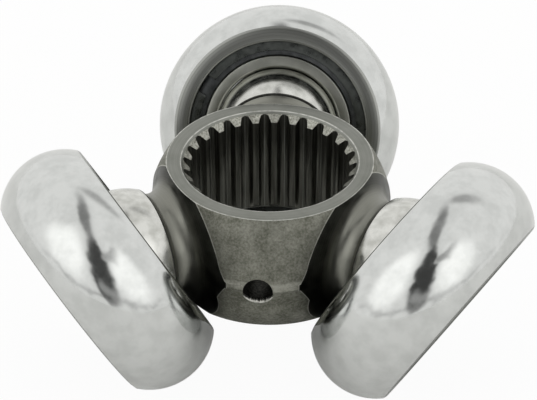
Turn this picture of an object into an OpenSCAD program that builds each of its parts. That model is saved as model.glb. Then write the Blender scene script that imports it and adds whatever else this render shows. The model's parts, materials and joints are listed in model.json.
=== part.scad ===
// Drive shaft spider: a splined hub with three ball-ended trunnions.
// Each trunnion carries a needle roller cartridge that can tilt on its ball.
// Origin: on the spline axis, at the height of the three trunnion axes.
// +Z runs along the spline axis; the rear trunnion points along +Y.

/* [Spline] */
// Number of internal teeth in the hub's bore
spline_teeth = 26; // [22:1:28]
// Spline module, pitch diameter divided by teeth
spline_module = 1; // [0.85:0.01:1.08]
// Pressure angle of the involute flanks, degrees
spline_angle = 30; // [25:1:35]
// Radial depth of a tooth space outside the pitch circle
spline_root = 0.5; // [0.35:0.05:0.7]
// Height over which a tooth space's root is rounded
spline_round = 0.35; // [0.2:0.05:0.4]
// Radial height of a tooth inside the pitch circle
spline_tip = 0.55; // [0.35:0.05:0.7]
// How far the lead-in chamfer reaches past the tooth roots
lead_in = 0.35; // [0.15:0.05:0.8]

/* [Hub] */
// Height of the upper end face above the trunnion axes
hub_top = 10.3; // [9.6:0.1:11.2]
// Depth of the lower end face below the trunnion axes
hub_bottom = 8.8; // [8.4:0.1:10.4]
// Width of the flat ring on the upper end face
face_w = 2.3; // [1.8:0.05:2.6]
// How much wider the lower end face's edge is than the upper one's
lower_face_extra = 1.05; // [0.6:0.05:1.4]
// How far the forged waist stands out past the upper face's edge
hub_swell = 3.45; // [2.8:0.05:4]
// Draft of the forging from the parting line to the shoulder, radial
hub_draft = 0.6; // [0.4:0.05:0.9]
// Height of the shoulder blend below the upper face
shoulder_h = 6.6; // [5.6:0.1:7.4]
// Height of the shoulder blend above the lower face
lower_shoulder_h = 5.5; // [4.5:0.1:6.3]
// Radius of the upper shoulder blend
shoulder_r = 20; // [15:1:30]
// Radius of the lower shoulder blend
lower_shoulder_r = 12; // [9:0.5:16]
// Height of the trimmed flash band on the parting line
flash_h = 1.2; // [0.6:0.1:2]
// How far the flash band stands out of the forging
flash_t = 0.25; // [0.1:0.05:0.5]
// Diameter of the cross hole through the front wall
cross_hole_d = 4.6; // [3:0.1:6]
// Height of the cross hole's axis, from the trunnion axes
cross_hole_z = -0.6; // [-1.5:0.1:1.5]

/* [Trunnions] */
// Distance from the spline axis to the centre of each ball
ball_pitch_r = 24.6; // [24.2:0.1:28]
// Diameter of the ground ball
ball_d = 20.5; // [19.6:0.1:21]
// Distance from a ball's centre to the edge where its grinding ends
ball_edge = 4.2; // [3.9:0.1:4.6]
// Distance from a ball's centre to its flat outer end
ball_end = 7.8; // [6.5:0.1:8.6]
// Width of the ledge that the grinding leaves between the ball and its neck
ledge_w = 0.3; // [0.15:0.05:0.5]
// Diameter of the neck
neck_d = 16.4; // [15:0.1:16.8]
// How far the neck rises just before the ball
neck_rise = 0.25; // [0.1:0.05:0.5]
// Length of the run-out between the neck's rise and the ball
neck_runout = 0.6; // [0.4:0.1:0.9]
// Length of the neck's straight stretch after the fillet
neck_land = 0.3; // [0.1:0.1:0.6]
// Radius between the neck and the turned flank of the hub
neck_fillet = 2.7; // [2.2:0.1:2.9]
// How far the turned flank cuts into the end face's edge
flank_cut = 0.25; // [0.2:0.05:0.5]
// Slope of the turned flank, degrees from square to the trunnion
flank_slope = 27; // [26:1:31]
// Diameter of the centre drilling in the trunnion's end
centre_d = 3.2; // [2:0.1:4.5]

/* [Rollers] */
// Outside diameter of the roller at the middle of its crown
roller_d = 41.2; // [39:0.1:43]
// Width of the roller
roller_w = 14.9; // [14.4:0.1:15.6]
// Radius of the crown's profile
crown_r = 9.8; // [9.2:0.1:12]
// Chamfer at the roller's outer and inner edges
roller_chamfer = 0.3; // [0.15:0.05:0.4]
// Width of the lip between a snap ring groove and the roller's face
lip_w = 1.4; // [1.1:0.05:1.8]

/* [Snap rings and washers] */
// Thickness of a snap ring
snap_t = 0.95; // [0.8:0.05:1.2]
// Radial width of a snap ring
snap_w = 2.15; // [1.6:0.05:2.3]
// Depth of the snap ring groove in the race
groove_depth = 0.65; // [0.4:0.05:0.8]
// Opening between the two ends of a snap ring
snap_gap = 3.2; // [2:0.1:6]
// Thickness of a side washer
washer_t = 0.8; // [0.6:0.05:1]

/* [Inner rings and needles] */
// Diameter of a needle
needle_d = 2.08; // [1.9:0.02:2.2]
// Wall of the inner ring under the needles
ring_wall = 2.45; // [2.3:0.01:2.6]
// Width of the inner ring
ring_w = 10.8; // [10.2:0.1:11.2]
// Step down from the ring's needle track to its two ends
ring_step = 0.35; // [0.25:0.05:0.5]
// Chamfer in the mouth of the inner ring's bore
ring_chamfer = 0.4; // [0.2:0.05:0.5]

/* [Fits] */
// Radial clearance between a ball and its inner ring
ball_clearance = 0.05; // [0.02:0.01:0.08]
// Radial clearance above and below a needle
needle_clearance = 0.02; // [0.01:0.01:0.04]
// Smallest gap between neighbouring needles
needle_gap = 0.03; // [0.02:0.01:0.08]
// Clearance round washers and snap rings, radial
ring_clearance = 0.1; // [0.05:0.01:0.1]
// End play of needles and inner ring between the washers
end_play = 0.1; // [0.05:0.05:0.3]

/* [Pose of the rollers as they stand] */
// Tilt of each roller's axis below its trunnion's axis, degrees
rest_tilt = 27; // [0:1:27]
// How far each cartridge has slid outward on its ball
rest_slide = 3.6; // [3.4:0.1:3.8]

/* [Hidden] */
$fn = 96;

// Spline circles
pitch_r = spline_teeth * spline_module / 2;
base_r = pitch_r * cos(spline_angle);
root_r = pitch_r + spline_root;
tip_r = pitch_r - spline_tip;
chamfer_r = root_r + lead_in;
form_r = root_r - spline_round;
flank_steps = 3;

// Hub
face_r = chamfer_r + face_w;
lower_face_r = face_r + lower_face_extra;
waist_r = face_r + hub_swell;
blend_steps = 6;
over = 1;

// Trunnion
ball_r = ball_d / 2;
neck_r = neck_d / 2;
edge_r = sqrt(ball_r * ball_r - ball_edge * ball_edge);
ball_edge_s = ball_pitch_r - ball_edge;
ball_end_s = ball_pitch_r + ball_end;
flank_s = face_r - flank_cut;
// Where the flank's slope would meet the neck
corner_s = flank_s + (hub_top - neck_r) * tan(flank_slope);
fillet_reach = neck_fillet * tan((90 - flank_slope) / 2);
fillet_s = corner_s + fillet_reach;
fillet_steps = 9;
fillet_sink = 3;
// Flank angle at which the fillet ends, sunk a little into the flank
fillet_end = 90 - flank_slope + fillet_sink;
land_s = fillet_s + neck_land;
arm_root_s = tip_r;

// Roller and its race
roller_r = roller_d / 2;
face_a = roller_w / 2;
groove_out = face_a - lip_w;
groove_in = groove_out - snap_t;
washer_in = groove_in - washer_t;

// Inner ring and needles
ring_bore_r = ball_r + ball_clearance;
track_r = ring_bore_r + ring_wall;
ring_end_r = track_r - ring_step;
track_half = washer_in - end_play;
needle_r = needle_d / 2;
needle_pitch_r = track_r + needle_clearance + needle_r;
race_r = needle_pitch_r + needle_r + needle_clearance;
groove_r = race_r + groove_depth;
needle_n = floor(360 / (2 * asin((needle_r + needle_gap / 2) / needle_pitch_r)));
washer_r = race_r - ring_clearance;
washer_bore_r = ring_end_r + ring_clearance;
snap_r = groove_r - ring_clearance;
snap_bore_r = snap_r - snap_w;

// Azimuths of the three trunnions
rear_az = 90;
left_az = 210;
right_az = 330;
arm_azimuths = [rear_az, left_az, right_az];
// Azimuth of the cross hole, a little left of the front panel's middle
cross_hole_az = 268;

// Involute function, in degrees
function inv(a) = tan(a) * 180 / PI - a;

// Half the angle of a tooth space at radius r, in degrees
function space_half(r) = 90 / spline_teeth + inv(spline_angle) - inv(acos(base_r / r));

// Radius of the flank's point k, from the tooth tip out to where the root's rounding starts
function flank_r(k) = tip_r + (form_r - tip_r) * k / flank_steps;

// Point of the rounded root, t running from -1 to 1 across the tooth space at angle a
function root_point(a, t) = polar(form_r + spline_round * sqrt(1 - t * t), a + t * space_half(form_r));

function polar(r, a) = [r * cos(a), r * sin(a)];

// One tooth space, from its left tip corner out to the root and back
function space_points(a) = concat(
    [for (k = [0:flank_steps]) polar(flank_r(k), a - space_half(flank_r(k)))],
    [for (t = [-0.6, 0, 0.6]) root_point(a, t)],
    [for (k = [flank_steps:-1:0]) polar(flank_r(k), a + space_half(flank_r(k)))]
);

function spline_points() = [
    for (i = [0:spline_teeth - 1]) each space_points(i * 360 / spline_teeth)
];

// Centre of the circle of radius r through a lower point p and a higher point q, on their inner side
function blend_centre(p, q, r) =
    let (d = q - p, h = norm(d), m = (p + q) / 2, k = sqrt(max(r * r - h * h / 4, 0)))
    m + [-d.y, d.x] / h * k;

module splined_bore() {
    translate([0, 0, -hub_bottom - over])
        linear_extrude(hub_top + hub_bottom + 2 * over)
            polygon(spline_points());
}

// Cone that chamfers the bore's mouth, its wide end at z = 0 and widening upward
module lead_in_cone() {
    depth = chamfer_r - tip_r + over;
    translate([0, 0, -depth])
        cylinder(r1 = chamfer_r - depth, r2 = chamfer_r + over, h = depth + over);
}

// Points of an arc of radius r from a lower point p to a higher point q
function arc_points(p, q, r) =
    let (c = blend_centre(p, q, r), a = atan2(p.y - c.y, p.x - c.x), b = atan2(q.y - c.y, q.x - c.x))
    [for (k = [0:blend_steps]) c + polar(r, a + (b - a) * k / blend_steps)];

// Blend from the parting line's height to one end face, drawn upward
function hub_blend(height, end_r, blend_h, blend_r) =
    arc_points([waist_r - hub_draft, height - blend_h], [end_r, height], blend_r);

// Radius of a drafted wall at the flash band's edge, when its blend starts at height h
function draft_r(h) = waist_r - hub_draft * flash_h / 2 / h;

// Outline of the hub's side from the lower end face to the upper one, with the flash band
function hub_outline() =
    let (
        upper = hub_blend(hub_top, face_r, shoulder_h, shoulder_r),
        lower = hub_blend(hub_bottom, lower_face_r, lower_shoulder_h, lower_shoulder_r)
    )
    concat(
        [for (k = [blend_steps:-1:0]) [lower[k].x, -lower[k].y]],
        [[draft_r(lower[0].y), -flash_h / 2], [waist_r + flash_t, -flash_h / 2]],
        [[waist_r + flash_t, flash_h / 2], [draft_r(upper[0].y), flash_h / 2]],
        upper
    );

module forged_hub() {
    rotate_extrude() polygon(concat([[0, -hub_bottom]], hub_outline(), [[0, hub_top]]));
}

// Turns a shape drawn on the Z axis to lie along the trunnion at azimuth az
module along_arm(az) {
    rotate([0, 0, az]) rotate([0, 90, 0]) children();
}

// What turning the trunnion takes off the hub: all that lies beyond the sloping flank
module flank_cutter() {
    wide = waist_r + over;
    rotate_extrude()
        polygon([
            [0, corner_s],
            [neck_r, corner_s],
            [wide, corner_s - (wide - neck_r) * tan(flank_slope)],
            [wide, ball_pitch_r],
            [0, ball_pitch_r]
        ]);
}

// Neck of a trunnion, with the fillet that runs out into the flank
module neck() {
    centre = [neck_r + neck_fillet, fillet_s];
    fillet = [
        for (k = [0:fillet_steps])
            let (a = fillet_end * (1 - k / fillet_steps))
            centre - neck_fillet * [cos(a), sin(a)]
    ];
    rotate_extrude()
        polygon(concat(
            [[0, arm_root_s], [fillet[0].x, arm_root_s]],
            fillet,
            [[neck_r, land_s], [neck_r + neck_rise, ball_edge_s - neck_runout]],
            [[edge_r - ledge_w, ball_edge_s], [neck_r, ball_pitch_r], [0, ball_pitch_r]]
        ));
}

// The space under the lower end face, where the necks' fillets have no metal to be cut from
module below_hub() {
    depth = neck_fillet + over;
    translate([0, 0, -hub_bottom - depth]) cylinder(r = ball_pitch_r - ball_edge, h = depth);
}

module ball() {
    intersection() {
        translate([0, 0, ball_pitch_r]) sphere(ball_r);
        translate([0, 0, ball_edge_s]) cylinder(r = ball_r + over, h = ball_end_s - ball_edge_s);
    }
}

module centre_drilling() {
    depth = centre_d / 2 / tan(30);
    translate([0, 0, ball_end_s - depth])
        cylinder(r1 = 0, r2 = centre_d / 2 * (depth + over) / depth, h = depth + over);
}

module spider() {
    color("#8d8c86")
    difference() {
        union() {
            difference() {
                forged_hub();
                for (az = arm_azimuths) along_arm(az) flank_cutter();
            }
            difference() {
                for (az = arm_azimuths) along_arm(az) neck();
                below_hub();
            }
            for (az = arm_azimuths) along_arm(az) ball();
        }
        splined_bore();
        translate([0, 0, hub_top]) lead_in_cone();
        translate([0, 0, -hub_bottom]) mirror([0, 0, 1]) lead_in_cone();
        for (az = arm_azimuths) along_arm(az) centre_drilling();
        rotate([0, 0, cross_hole_az]) translate([0, 0, cross_hole_z]) rotate([0, 90, 0])
            cylinder(d = cross_hole_d, h = waist_r + over);
    }
}

// Places a cartridge piece, drawn on the Z axis about the roller's middle, on the ball at azimuth az
module on_ball(az) {
    rotate([0, 0, az]) translate([ball_pitch_r, 0, 0]) rotate([0, 90 + rest_tilt, 0])
        translate([0, 0, rest_slide]) children();
}

module roller() {
    crown_x = roller_r - crown_r;
    edge_x = crown_x + sqrt(crown_r * crown_r - face_a * face_a);
    c = roller_chamfer;
    // The edge's chamfer starts on the crown, half its width below the end face
    edge_a = face_a - c / 2;
    chamfer_x = crown_x + sqrt(crown_r * crown_r - edge_a * edge_a);
    color("#d6d8d6")
    rotate_extrude()
        difference() {
            intersection() {
                translate([crown_x, 0]) circle(crown_r);
                polygon([
                    [race_r, -face_a + c], [race_r + c, -face_a], [edge_x - c, -face_a],
                    [chamfer_x, -edge_a], [roller_r + c, -edge_a],
                    [roller_r + c, edge_a], [chamfer_x, edge_a],
                    [edge_x - c, face_a], [race_r + c, face_a], [race_r, face_a - c]
                ]);
            }
            for (side = [-1, 1])
                translate([0, side * (groove_in + groove_out) / 2])
                    square([2 * groove_r, groove_out - groove_in], center = true);
        }
}

module inner_ring() {
    half = ring_w / 2;
    c = ring_chamfer;
    color("#9a9a96")
    rotate_extrude()
        polygon([
            [ring_bore_r, -half + c], [ring_bore_r + c, -half], [ring_end_r - c / 2, -half],
            [ring_end_r, -half + c / 2], [ring_end_r, -track_half], [track_r, -track_half],
            [track_r, track_half], [ring_end_r, track_half], [ring_end_r, half - c / 2],
            [ring_end_r - c / 2, half], [ring_bore_r + c, half], [ring_bore_r, half - c]
        ]);
}

module needles() {
    color("#b9bab8")
    for (i = [0:needle_n - 1])
        rotate([0, 0, i * 360 / needle_n]) translate([needle_pitch_r, 0, -track_half])
            cylinder(r = needle_r, h = 2 * track_half, $fn = 24);
}

// Side washer; side is -1 towards the hub and 1 away from it
module washer(side) {
    color("#4a4c4d")
    translate([0, 0, side * (washer_in + washer_t / 2)])
        difference() {
            cylinder(r = washer_r, h = washer_t, center = true);
            cylinder(r = washer_bore_r, h = washer_t + over, center = true);
        }
}

// Snap ring in its groove, split where its ends stand apart
module snap_ring(side) {
    color("#3c3e40")
    translate([0, 0, side * (groove_in + snap_t / 2)])
        difference() {
            cylinder(r = snap_r, h = snap_t, center = true);
            cylinder(r = snap_bore_r, h = snap_t + over, center = true);
            rotate([0, 0, 60]) translate([snap_bore_r, 0, 0])
                cube([2 * snap_w + over, snap_gap, snap_t + over], center = true);
        }
}

module rear_roller() { on_ball(rear_az) roller(); }
module rear_inner_ring() { on_ball(rear_az) inner_ring(); }
module rear_needles() { on_ball(rear_az) needles(); }
module rear_washer_inboard() { on_ball(rear_az) washer(-1); }
module rear_washer_outboard() { on_ball(rear_az) washer(1); }
module rear_snap_ring_inboard() { on_ball(rear_az) snap_ring(-1); }
module rear_snap_ring_outboard() { on_ball(rear_az) snap_ring(1); }

module left_roller() { on_ball(left_az) roller(); }
module left_inner_ring() { on_ball(left_az) inner_ring(); }
module left_needles() { on_ball(left_az) needles(); }
module left_washer_inboard() { on_ball(left_az) washer(-1); }
module left_washer_outboard() { on_ball(left_az) washer(1); }
module left_snap_ring_inboard() { on_ball(left_az) snap_ring(-1); }
module left_snap_ring_outboard() { on_ball(left_az) snap_ring(1); }

module right_roller() { on_ball(right_az) roller(); }
module right_inner_ring() { on_ball(right_az) inner_ring(); }
module right_needles() { on_ball(right_az) needles(); }
module right_washer_inboard() { on_ball(right_az) washer(-1); }
module right_washer_outboard() { on_ball(right_az) washer(1); }
module right_snap_ring_inboard() { on_ball(right_az) snap_ring(-1); }
module right_snap_ring_outboard() { on_ball(right_az) snap_ring(1); }

spider();
rear_roller();
rear_inner_ring();
rear_needles();
rear_washer_inboard();
rear_washer_outboard();
rear_snap_ring_inboard();
rear_snap_ring_outboard();
left_roller();
left_inner_ring();
left_needles();
left_washer_inboard();
left_washer_outboard();
left_snap_ring_inboard();
left_snap_ring_outboard();
right_roller();
right_inner_ring();
right_needles();
right_washer_inboard();
right_washer_outboard();
right_snap_ring_inboard();
right_snap_ring_outboard();
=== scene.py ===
# %% [markdown]
# # A drive shaft spider
# The spider is the three-armed piece that sits on the end of a car's drive shaft and rolls in the joint's
# housing. Its forged hub slides on the shaft's splines. Each arm ends in a ground ball, and on each ball
# rides a crowned roller. Roller, needles, washers and snap rings make one cartridge, whose plain bore
# lets it tilt and slide on the ball. The solid model gives every size and every joint. This script builds
# the surfaces and finishes around it.

# %% Load the solid model
import json
import math

import bpy
from mathutils import Matrix, Quaternion, Vector


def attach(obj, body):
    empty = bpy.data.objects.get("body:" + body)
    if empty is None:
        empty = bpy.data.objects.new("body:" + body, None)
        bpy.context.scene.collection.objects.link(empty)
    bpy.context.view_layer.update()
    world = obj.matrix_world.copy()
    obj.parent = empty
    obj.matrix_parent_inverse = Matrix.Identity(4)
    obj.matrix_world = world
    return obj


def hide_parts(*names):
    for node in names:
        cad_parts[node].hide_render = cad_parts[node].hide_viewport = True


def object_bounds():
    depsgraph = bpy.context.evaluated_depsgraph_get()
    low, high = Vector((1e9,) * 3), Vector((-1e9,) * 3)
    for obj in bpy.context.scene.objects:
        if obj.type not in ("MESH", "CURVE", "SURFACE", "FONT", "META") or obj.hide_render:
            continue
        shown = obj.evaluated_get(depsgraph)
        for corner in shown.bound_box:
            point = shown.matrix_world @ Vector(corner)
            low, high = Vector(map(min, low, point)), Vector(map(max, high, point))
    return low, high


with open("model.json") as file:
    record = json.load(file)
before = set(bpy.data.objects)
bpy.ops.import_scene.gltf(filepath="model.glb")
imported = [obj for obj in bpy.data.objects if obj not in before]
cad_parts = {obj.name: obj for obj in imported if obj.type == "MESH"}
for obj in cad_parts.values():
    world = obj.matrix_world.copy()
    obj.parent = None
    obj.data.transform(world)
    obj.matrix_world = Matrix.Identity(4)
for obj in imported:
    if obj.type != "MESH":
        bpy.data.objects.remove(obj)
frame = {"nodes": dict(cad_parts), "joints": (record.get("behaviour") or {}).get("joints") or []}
cad_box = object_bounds()
joints = {j["name"]: j for j in frame["joints"]}
ARMS = ("rear", "left", "right")
MM = 0.001

# %% [markdown]
# ## Working with operators
# Blender's modelling tools act on whatever is selected, and a loaded model comes in selected. So each
# step starts by selecting nothing. The helpers below do what a hand would do with the mouse and keys:
# draw an outline point by point, spin it round an axis, put the result in its place, and round its edges.


# %% Helpers: select, edit, apply
def deselect():
    """Leaves edit mode and selects nothing."""
    if bpy.context.object and bpy.context.object.mode != "OBJECT":
        bpy.ops.object.mode_set(mode="OBJECT")
    bpy.ops.object.select_all(action="DESELECT")


def pick(piece):
    """Selects one piece alone and makes it the active one."""
    deselect()
    piece.select_set(True)
    bpy.context.view_layer.objects.active = piece


def edit(piece):
    """Opens one piece for editing with everything in it selected."""
    pick(piece)
    bpy.ops.object.mode_set(mode="EDIT")
    bpy.ops.mesh.select_all(action="SELECT")


def apply_modifier(piece, kind, **settings):
    """Adds a modifier to a piece and applies it at once."""
    pick(piece)
    bpy.ops.object.modifier_add(type=kind)
    modifier = piece.modifiers[-1]
    for key, value in settings.items():
        setattr(modifier, key, value)
    bpy.ops.object.modifier_apply(modifier=modifier.name)


def triangles(piece):
    """How many triangles a piece comes to."""
    return sum(len(p.vertices) - 2 for p in piece.data.polygons)


# %% [markdown]
# ## Drawing an outline and spinning it
# Nearly every surface here was made on a lathe or a grinder, so nearly every piece is an outline spun
# round an axis. A plane is collapsed to one point, the point is extruded from corner to corner, and Spin
# sweeps the outline round. Doubled points at the seam are merged before the faces are turned outwards,
# because a seam would confuse that step.

# %% Helpers: outline and lathe
TURN_STEPS = 192
FINE_STEPS = 256
MERGE = 0.002


def arc(centre_x, centre_y, radius, start, end, steps):
    """Points of an arc in degrees, both ends included."""
    angles = [math.radians(start + (end - start) * k / steps) for k in range(steps + 1)]
    return [(centre_x + radius * math.cos(a), centre_y + radius * math.sin(a)) for a in angles]


def draw_outline(name, outline):
    """Draws a chain of points in the XZ plane, given in millimetres."""
    deselect()
    bpy.ops.mesh.primitive_plane_add(size=MM)
    piece = bpy.context.object
    piece.name = name
    piece.data.name = name
    edit(piece)
    bpy.ops.mesh.merge(type="CENTER")
    here = Vector((0, 0, 0))
    first = Vector((outline[0][0], 0, outline[0][1])) * MM
    bpy.ops.transform.translate(value=first - here)
    here = first
    for x, z in outline[1:]:
        there = Vector((x, 0, z)) * MM
        bpy.ops.mesh.extrude_vertices_move(TRANSFORM_OT_translate={"value": there - here})
        here = there
    return piece


def close_mesh():
    """Merges doubled points and turns all faces outwards."""
    bpy.ops.mesh.select_all(action="SELECT")
    bpy.ops.mesh.remove_doubles(threshold=MM * MERGE)
    bpy.ops.mesh.normals_make_consistent(inside=False)


def fill_flat():
    """Fills a closed outline and lays it down in the XY plane."""
    bpy.ops.mesh.select_all(action="SELECT")
    bpy.ops.mesh.remove_doubles(threshold=MM * MERGE)
    bpy.ops.mesh.edge_face_add()
    bpy.ops.transform.rotate(value=math.pi / 2, orient_axis="X", center_override=(0, 0, 0))


def lathe(name, outline, steps=TURN_STEPS):
    """Spins an outline round the Z axis into a closed piece."""
    piece = draw_outline(name, outline)
    bpy.ops.mesh.select_all(action="SELECT")
    bpy.ops.mesh.spin(steps=steps, angle=math.tau, center=(0, 0, 0), axis=(0, 0, 1))
    close_mesh()
    deselect()
    return piece


# The mark of a face says how it came about, and 0 is a face as it was first made
CUT, DRILLED, ROUNDED = 1, 2, 3


def add_slots(piece):
    """Gives a piece four empty material slots, which serve as marks until the finishes come."""
    while len(piece.data.materials) <= ROUNDED:
        piece.data.materials.append(None)


def mark(piece, slot):
    """Puts all faces of a piece in one slot. A boolean hands the cutter's marks on to the faces it cuts."""
    add_slots(piece)
    for face in piece.data.polygons:
        face.material_index = slot


def soften(piece, width, segments=2, angle=32):
    """Rounds the sharp edges a little, as a real edge is, and shades the rest smooth."""
    add_slots(piece)
    apply_modifier(piece, "BEVEL", width=width * MM, segments=segments, limit_method="ANGLE",
                   material=ROUNDED, angle_limit=math.radians(angle),
                   use_clamp_overlap=True, harden_normals=False)
    pick(piece)
    bpy.ops.object.shade_smooth_by_angle(angle=math.radians(angle))


# %% [markdown]
# ## Where things stand
# The joints say where every axis runs. A trunnion's own frame has Z along the arm, with its zero on the
# spline axis. A cartridge's own frame has Z along the roller's axis, with its zero in the middle of the
# roller. Pieces are modelled in these frames and then moved over. Before the move, each point notes its
# own place in an attribute, so that turning marks can follow the piece's axis wherever the piece ends up.


# %% Helpers: own frames
def frame_of(origin, z_axis, y_axis):
    """The matrix that takes a piece from its own frame to its place."""
    z, y = Vector(z_axis).normalized(), Vector(y_axis).normalized()
    rotation = Matrix((y.cross(z), y, z)).transposed().to_4x4()
    return Matrix.Translation(Vector(origin)) @ rotation


def trunnion_frame(arm):
    """Z along the arm, Y along the tilt axis, so X points up."""
    tilt = joints[arm + "_tilt"]
    return frame_of((0, 0, 0), Vector(tilt["pos_m"]), tilt["axis"])


def cartridge_frame(arm):
    """Z along the roller's axis, away from the hub."""
    spin, tilt = joints[arm + "_spin"], joints[arm + "_tilt"]
    return frame_of(spin["pos_m"], spin["axis"], tilt["axis"])


def note_own_place(piece):
    """Stores each point's place in millimetres before the piece is moved."""
    places = piece.data.attributes.new("own_place", "FLOAT_VECTOR", "POINT")
    for point, place in zip(piece.data.vertices, places.data):
        place.vector = point.co / MM


def put(piece, matrix):
    """Moves a piece to its place and leaves its origin at zero."""
    piece.matrix_world = matrix
    pick(piece)
    bpy.ops.object.transform_apply(location=True, rotation=True, scale=True)
    deselect()


def copy_of(piece, name):
    """A copy with its own mesh."""
    pick(piece)
    bpy.ops.object.duplicate()
    copy = bpy.context.object
    copy.name = name
    copy.data.name = name
    return copy


# %% [markdown]
# ## Driving sizes
# All but a few of these repeat the solid model's sizes, in millimetres. The flash band stands out 0.08 mm
# and not 0.25 mm, which was meant to make its cut ends show less. Its sides slope, and the drafted wall
# beside it is up to 0.11 mm fuller than the solid's. The roller is 0.005 mm smaller in radius, so that its
# finer facets stay inside the solid's. How deep the teeth and the arms start inside the wall, and how wide
# the edges are rounded, are this script's own. Everything below is worked out from these sizes.

# %% Sizes of the hub
ROOT_R = 13.5
TIP_R = 12.45
LEAD_IN_R = 13.85
HUB_TOP = 10.3
HUB_BOTTOM = 8.8
FACE_R = 16.15
LOWER_FACE_R = 17.2
WAIST_R = 19.6
DRAFT = 0.6
UPPER_SHOULDER = 6.6
UPPER_SHOULDER_R = 20
LOWER_SHOULDER = 5.5
LOWER_SHOULDER_R = 12
FLASH_HALF = 0.6
FLASH_OUT = 0.08
FLASH_EDGE = 0.1
TEETH = 26
PITCH_R = 13.0
PRESSURE_ANGLE = 30
ROOT_ROUND = 0.35
TOOTH_SUNK = 0.2
CROSS_HOLE_R = 2.3
CROSS_HOLE_TURN = -2
CROSS_HOLE_Z = -0.6

# %% Sizes of the trunnions
BALL_PITCH = 24.6
BALL_R = 10.25
BALL_EDGE = 4.2
BALL_END = 7.8
NECK_R = 8.2
NECK_FILLET = 2.7
FILLET_SINK = 3
NECK_LAND = 0.3
NECK_RISE = 0.25
NECK_RUNOUT = 0.6
LEDGE = 0.3
FLANK_SLOPE = 27
FLANK_CUT = 0.25
FLANK_FACE = FACE_R - FLANK_CUT
ARM_ROOT = 14.4
CENTRE_R = 1.6
CORNER_S = FLANK_FACE + (HUB_TOP - NECK_R) * math.tan(math.radians(FLANK_SLOPE))
FILLET_S = CORNER_S + NECK_FILLET * math.tan(math.radians((90 - FLANK_SLOPE) / 2))
EDGE_R = math.sqrt(BALL_R ** 2 - BALL_EDGE ** 2)
print("fillet centre %.2f mm out, ball edge radius %.2f mm" % (FILLET_S, EDGE_R))

# %% Sizes of the cartridges
ROLLER_R = 20.595
ROLLER_HALF = 7.45
CROWN_R = 9.8
RACE_R = 14.87
LIP = 1.4
SNAP_T = 0.95
SNAP_W = 2.15
GROOVE_DEPTH = 0.65
WASHER_T = 0.8
RING_BORE_R = 10.3
TRACK_R = 12.75
RING_END_R = 12.4
RING_HALF = 5.4
GROOVE_OUT = ROLLER_HALF - LIP
GROOVE_IN = GROOVE_OUT - SNAP_T
WASHER_IN = GROOVE_IN - WASHER_T
END_PLAY = 0.1
TRACK_HALF = WASHER_IN - END_PLAY
EDGE = 0.3
SNAP_GAP = 3.2
CLEARANCE = 0.1

# %% Widths of the roundings on the edges
HUB_ROUNDING = 0.13
TOOTH_ROUNDING = 0.05
TRUNNION_ROUNDING = 0.07
ROLLER_ROUNDING = 0.06
RING_ROUNDING = 0.05
WASHER_ROUNDING = 0.08
SNAP_ROUNDING = 0.1

# %% [markdown]
# ## The hub's body
# The hub is a drop forging. Two dies meet at its waist, so it is fattest there, it narrows a little both
# ways for draft, and where the flash was trimmed a low band runs round. Then its end faces were turned
# flat. The outline has many points, so that the shading follows the long, gentle shoulders without a
# kink.


# %% Outline of the hub
def blend(low, high, radius, steps):
    """An arc of the given radius from one point up to another, bulging outwards."""
    a, b = Vector(low), Vector(high)
    chord = b - a
    middle = (a + b) / 2
    back = math.sqrt(radius ** 2 - chord.length_squared / 4)
    centre = middle + Vector((-chord.y, chord.x)).normalized() * back
    start = math.degrees(math.atan2(a.y - centre.y, a.x - centre.x))
    end = math.degrees(math.atan2(b.y - centre.y, b.x - centre.x))
    return arc(centre.x, centre.y, radius, start, end, steps)


def straight(a, b, steps):
    """Points on a straight stretch, without its first one."""
    return [(a[0] + (b[0] - a[0]) * k / steps, a[1] + (b[1] - a[1]) * k / steps) for k in range(1, steps + 1)]


def hub_outline():
    """The wall's outline, from the lower lead-in up the outside and back down the bore."""
    low_edge = (WAIST_R - DRAFT, -HUB_BOTTOM + LOWER_SHOULDER)
    high_edge = (WAIST_R - DRAFT, HUB_TOP - UPPER_SHOULDER)
    turned_over = blend((low_edge[0], -low_edge[1]), (LOWER_FACE_R, HUB_BOTTOM), LOWER_SHOULDER_R, 12)
    lower = [(x, -z) for x, z in turned_over]
    points = [(ROOT_R, -HUB_BOTTOM + LEAD_IN_R - ROOT_R), (LEAD_IN_R, -HUB_BOTTOM)]
    points += list(reversed(lower))
    points += straight(low_edge, (WAIST_R, -FLASH_HALF), 12)
    band_low = (WAIST_R + FLASH_OUT, -FLASH_HALF + FLASH_EDGE)
    band_high = (WAIST_R + FLASH_OUT, FLASH_HALF - FLASH_EDGE)
    points += [band_low] + straight(band_low, band_high, 4)
    points += [(WAIST_R, FLASH_HALF)]
    points += straight((WAIST_R, FLASH_HALF), high_edge, 12)
    points += blend(high_edge, (FACE_R, HUB_TOP), UPPER_SHOULDER_R, 16)[1:]
    points += [(LEAD_IN_R, HUB_TOP), (ROOT_R, HUB_TOP - LEAD_IN_R + ROOT_R)]
    return points + [points[0]]


hub = lathe("forged_hub", hub_outline(), steps=FINE_STEPS)
print("hub blank:", triangles(hub), "triangles")

# %% [markdown]
# ## Turning the flanks
# Each trunnion is turned on a lathe, and the tool runs on into the hub's side. It leaves a sloping ring
# round the arm, which meets the forged skin in a crisp curved edge. A cutter with that slope is taken
# away from the hub at each arm.


# %% Cut the flanks
def flank_cutter(name):
    """Everything beyond the sloping flank, in the trunnion's own frame."""
    wide = WAIST_R + 2
    far = BALL_PITCH + 2
    slope = math.tan(math.radians(FLANK_SLOPE))
    ring_radii = [NECK_R, 9.5, 10.5, 11.5, 12.5, 13.5, 15, wide]
    points = [(0, CORNER_S)] + [(r, CORNER_S - (r - NECK_R) * slope) for r in ring_radii]
    return lathe(name, points + [(wide, far), (0, far)])


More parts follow.
